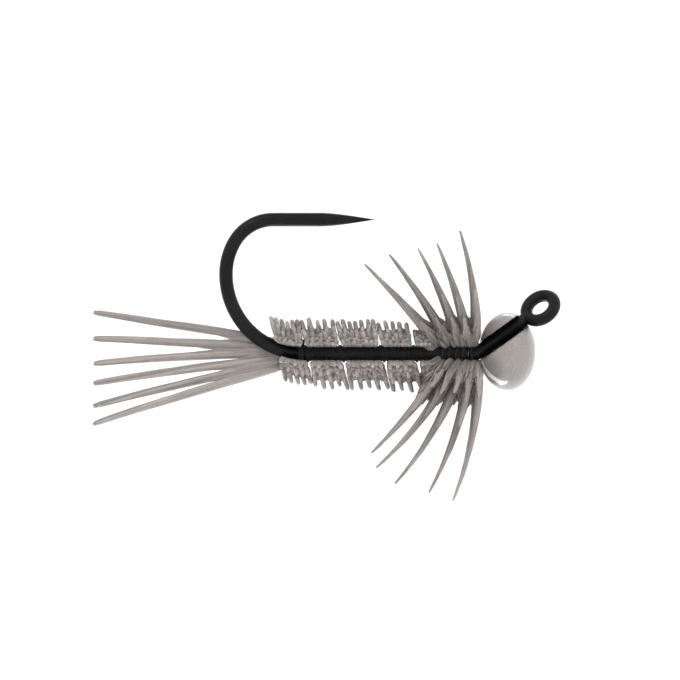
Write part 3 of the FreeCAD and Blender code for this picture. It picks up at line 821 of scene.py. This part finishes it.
for half, side, bows in (("upper", 1, upper_bow), ("lower", -1, lower_bow)):
    for number in range(1, 6):
        node = "hackle_%s_%d" % (half, number)
        low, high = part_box(node)
        hub = hinge[node]
        tip = Vector((low.x + 0.04 * mm, 0, high.z - 0.02 * mm if side > 0 else low.z + 0.02 * mm))
        way = (tip - hub).normalized()
        forward = Vector((0, side, 0)).cross(way)
        length = (tip - hub).length
        bow = bows[number - 1] * mm
        fan = Strands()
        for n in range(barbs):
            wobble = math.radians(dice.uniform(-2.5, 2.5)) * (n != 4)
            angle = -barb_spread + 2 * barb_spread * n / (barbs - 1) + wobble
            reach = length * (1 - 0.2 * abs(math.sin(angle)) / math.sin(barb_spread))
            reach *= 1.0 if n == 4 else dice.uniform(0.93, 1.0)
            shares = [m / 14 for m in range(15)]
            spine = barb_path(hub, way, forward, length, bow, angle, reach, 0.0)
            radii = [girth_at(s, barb_girth) * 0.78 for s in shares]
            fan.add(spine, radii, sides=12, tone=dice.uniform(0.25, 0.75), flutes=6, depth=0.13, twist=2.0)
            for strand in range(6):
                around = math.tau * (strand + dice.random()) / 6
                short = dice.uniform(0.62, 0.97)
                aim = angle + math.radians(dice.uniform(-1, 1))
                loose = barb_path(hub, way, forward, length, bow, aim, reach * short, 0.0)
                hug = []
                for s, point in zip(shares, loose):
                    off = girth_at(s * short, barb_girth) * 0.80
                    swing = around + 1.2 * s
                    aside = Vector((0, off * math.sin(swing), 0))
                    hug.append(point + forward * off * math.cos(swing) + aside)
                fine = [girth_at(s * short, barb_girth) * 0.34 * (1 - 0.5 * s) + 0.008 * mm for s in shares]
                fine[-1] = 0.008 * mm
                fan.add(hug, fine, sides=6, tone=dice.uniform(0.0, 1.0))
        valley, ridge = web_reach[side]
        rearmost, foremost = (-1.5, 1.0) if number == 1 else (-1.0, 0.05 if number == 5 else 1.0)
        for _ in range(web_barbs):
            aside = dice.uniform(rearmost, foremost)
            angle = dice.uniform(-1.0, 1.0) * barb_spread
            reach = (valley + (ridge - valley) * max(1 - abs(aside), 0) ** 2) * dice.uniform(0.86, 1.0) * mm
            start = hub - way * 0.22 * mm + forward * aside * web_side
            down = barb_path(start, way, forward, length, bow, angle, reach, aside * web_flare * reach)
            radii = [(0.108 - 0.080 * (m / 14) ** 3) * mm for m in range(15)]
            fan.add(down[::2], radii[::2], sides=6, tone=dice.uniform(0.15, 0.85))
        piece = fan.make(node + "_barbs", hackle_feather)
        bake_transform(piece)
        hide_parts(node)


# --- Head ------------------------------------------------------------------------------------------
# The whip finish: a few crossed turns of thread against the jig corner, sealed with a bead of varnish
# that wicks into the thread and dries glossy.
head_low, head_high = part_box("head_wraps")
head = Strands()
for layer, tilt in enumerate((0.05, -0.08, 0.10)):
    reach = wire_r + (0.030 + 0.026 * layer) * mm
    trim = 0.02 * mm * layer
    rear, front = head_low.x + thread_r + trim, head_high.x - thread_r - trim
    winding(head, rear, front, reach, thread_r, 2.1 * thread_r, lean=tilt, flat=0.7)
whip = head.make("whip_finish", black_thread)
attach(whip, "root")
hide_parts("head_wraps")

drop_low, drop_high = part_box("head_cement")
varnish = Strands()
drop_x = (drop_low.x + drop_high.x) / 2
drop_reach = wire_r + 0.045 * mm
drop_path = []
drop_r = []
for n in range(73):
    angle = math.tau * n / 72
    drop_path.append(Vector((drop_x, drop_reach * math.sin(angle), shank_z + drop_reach * math.cos(angle))))
    drop_r.append((0.050 + 0.006 * math.sin(3 * angle) + 0.004 * math.sin(7 * angle)) * mm)
varnish.add(drop_path, drop_r, sides=14)


def varnish_finish():
    finish = Finish("varnish", Specular_IOR_Level=0.5, Coat_Weight=0.6, Coat_Roughness=0.03)
    cloud = finish.noise(0.2 * mm)
    finish.set("Base Color", cloud.between(0.3, 0.7).choose((0.008, 0.0078, 0.0075), (0.018, 0.017, 0.016)))
    finish.set("Roughness", 0.10 + 0.14 * cloud)
    finish.bump(cloud, 0.006 * mm)
    return finish.material


cement = varnish.make("varnish_ring", varnish_finish())
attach(cement, "root")
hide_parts("head_cement")


# --- Table, lamps and camera -----------------------------------------------------------------------
# A pale seamless bowl: its floor runs up into a round wall, so that every side has the same backdrop.
floor_z = -0.080
bowl_r = 0.75
bowl_edge = 0.25
wall_top = 0.9


def bowl_finish():
    finish = Finish("pale_floor", Roughness=0.9, Specular_IOR_Level=0.0, Emission_Strength=0.27)
    grain = finish.noise(0.006, detail=6.0)
    finish.set("Base Color", grain.between(0.2, 0.8).choose((0.80, 0.80, 0.80), (0.84, 0.84, 0.84)))
    finish.set("Emission Color", (1.0, 1.0, 1.0))
    return finish.material


def bowl_mesh(turns=96):
    profile = [(bowl_r * 0.02, floor_z), (bowl_r * 0.3, floor_z), (bowl_r - bowl_edge, floor_z)]
    for n in range(1, 17):
        angle = math.pi / 2 * n / 16
        out = bowl_r - bowl_edge + bowl_edge * math.sin(angle)
        profile.append((out, floor_z + bowl_edge * (1 - math.cos(angle))))
    profile.append((bowl_r, wall_top))
    made = bmesh.new()
    spokes = [math.tau * n / turns for n in range(turns)]
    rings = [[made.verts.new((r * math.cos(a), r * math.sin(a), z)) for a in spokes] for r, z in profile]
    for low, high in zip(rings, rings[1:]):
        for n in range(turns):
            made.faces.new((low[n - 1], low[n], high[n], high[n - 1]))
    made.faces.new(rings[0][::-1])
    mesh = bpy.data.meshes.new("floor")
    made.to_mesh(mesh)
    made.free()
    return mesh


floor = set_out("floor", bowl_mesh(), bowl_finish())

world = bpy.data.worlds.new("studio")
world.use_nodes = True
world.node_tree.nodes["Background"].inputs["Color"].default_value = (1, 1, 1, 1)
world.node_tree.nodes["Background"].inputs["Strength"].default_value = 0.85
bpy.context.scene.world = world

look_at = Vector((-10.277, 0, -1.636)) * mm


def lamp(name, place, size, power, along=None, at=look_at):
    """A soft square or strip light that shines at a point; along is the way a strip's long side lies."""
    light = bpy.data.lights.new(name, "AREA")
    light.shape = "RECTANGLE"
    light.size, light.size_y = size
    light.energy = power
    item = bpy.data.objects.new(name, light)
    away = (Vector(place) - at).normalized()
    across = (Vector(along) if along else Vector((0, 0, 1)).cross(away)).normalized()
    across = (across - away * across.dot(away)).normalized()
    turn = Matrix((across, away.cross(across), away)).transposed()
    item.matrix_world = Matrix.Translation(place) @ turn.to_4x4()
    bpy.context.scene.collection.objects.link(item)


lamp("key", (-0.16, -0.22, 0.30), (0.22, 0.22), 0.34)
lamp("fill", (0.25, -0.20, 0.12), (0.20, 0.20), 0.08)
strip_along = (-0.0326, 0.0318, 0.0372)
lamp("bead_strip", (-0.0209, 0.0273, -0.0424), (0.066, 0.011), 0.016, along=strip_along, at=bead_centre)
lamp("rim", (0.05, 0.25, 0.22), (0.20, 0.10), 0.12)

camera_data = bpy.data.cameras.new("camera")
distance = 0.360
frame_width = 34.87 * mm
camera_data.sensor_width = 36
camera_data.lens = camera_data.sensor_width * distance / frame_width
camera_data.clip_start = 0.01
camera_data.clip_end = 10
camera = bpy.data.objects.new("camera", camera_data)
camera.location = look_at - Vector((0, distance, 0))
camera.rotation_euler = (math.pi / 2, 0, 0)
bpy.context.scene.collection.objects.link(camera)
bpy.context.scene.camera = camera
bpy.context.scene.view_settings.view_transform = "Standard"
